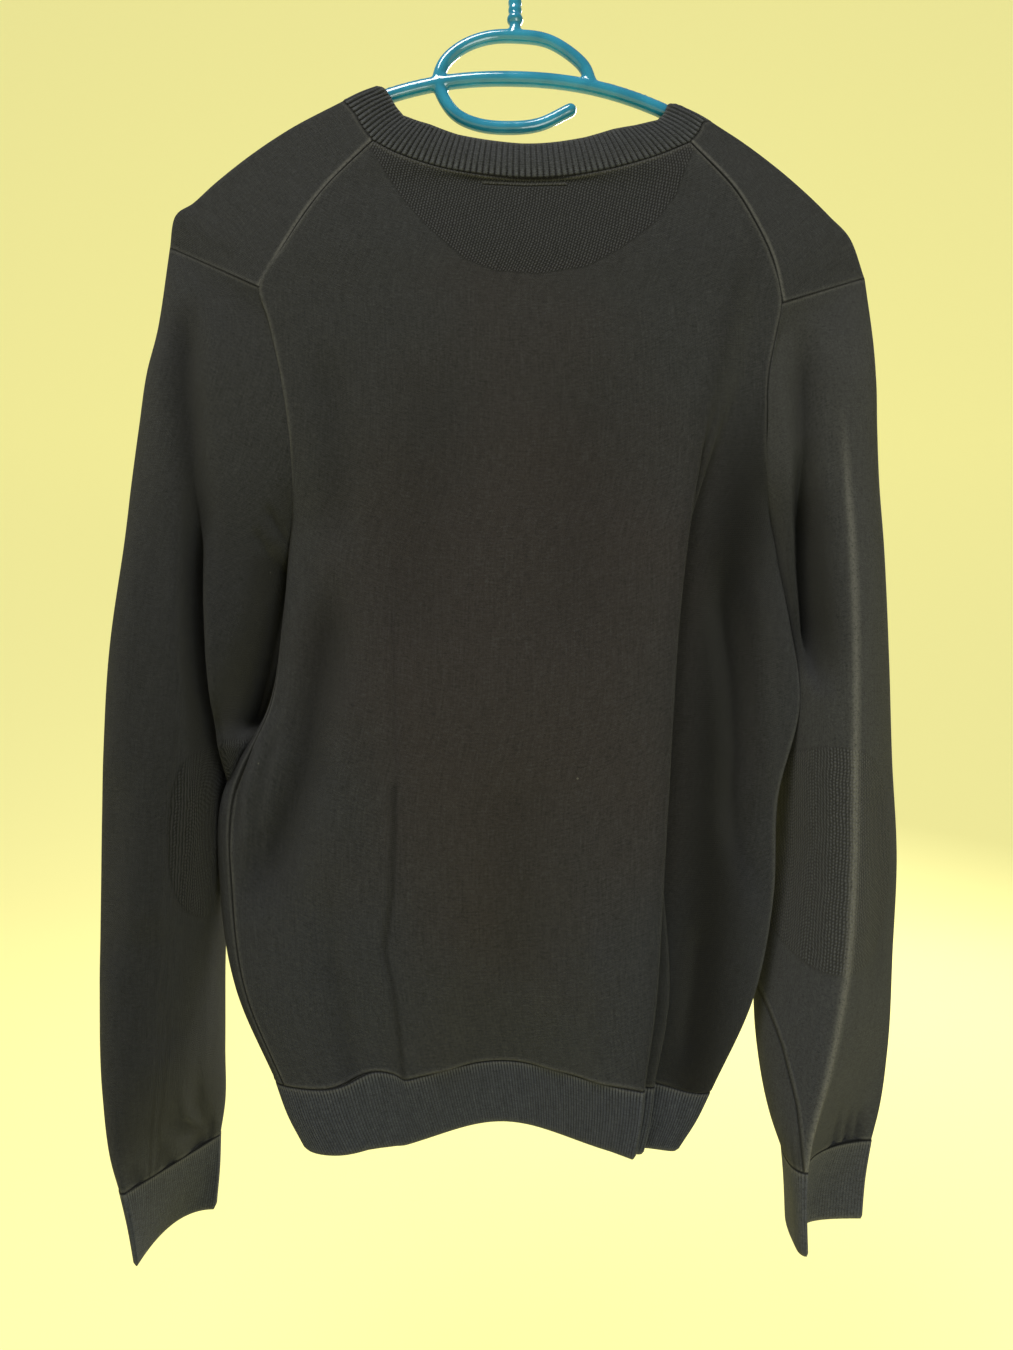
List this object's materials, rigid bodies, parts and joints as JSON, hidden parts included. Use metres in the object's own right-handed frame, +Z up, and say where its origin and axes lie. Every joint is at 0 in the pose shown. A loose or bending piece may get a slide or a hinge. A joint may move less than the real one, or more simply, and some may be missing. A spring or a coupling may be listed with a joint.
{
  "type": "long-sleeved wool sweater on a plastic hanger",
  "caption": "Fine-knit crew-neck wool sweater with ribbed neck, hem and cuffs, hanging on a slim plastic hanger with an open loop.",
  "frame": {"origin": "inside top of the hanger's hook, where it rests on a rail", "axes": "+Z up, -Y out of the back of the sweater, +X to the wearer's right, so the rail runs along Y"},
  "size_m": [0.497, 0.1036, 0.8728],
  "materials": {
    "knit": "soft matt knit",
    "rib": "ribbed matt knit",
    "hanger_plastic": "glossy"
  },
  "bodies": {
    "root": {"back_panel": "knit", "front_panel": "knit", "sleeve_left": "knit", "sleeve_right": "knit", "neck_rib": "rib", "hem_rib": "rib", "cuff_left": "rib", "cuff_right": "rib", "hanger": "hanger_plastic"}
  },
  "joints": []
}
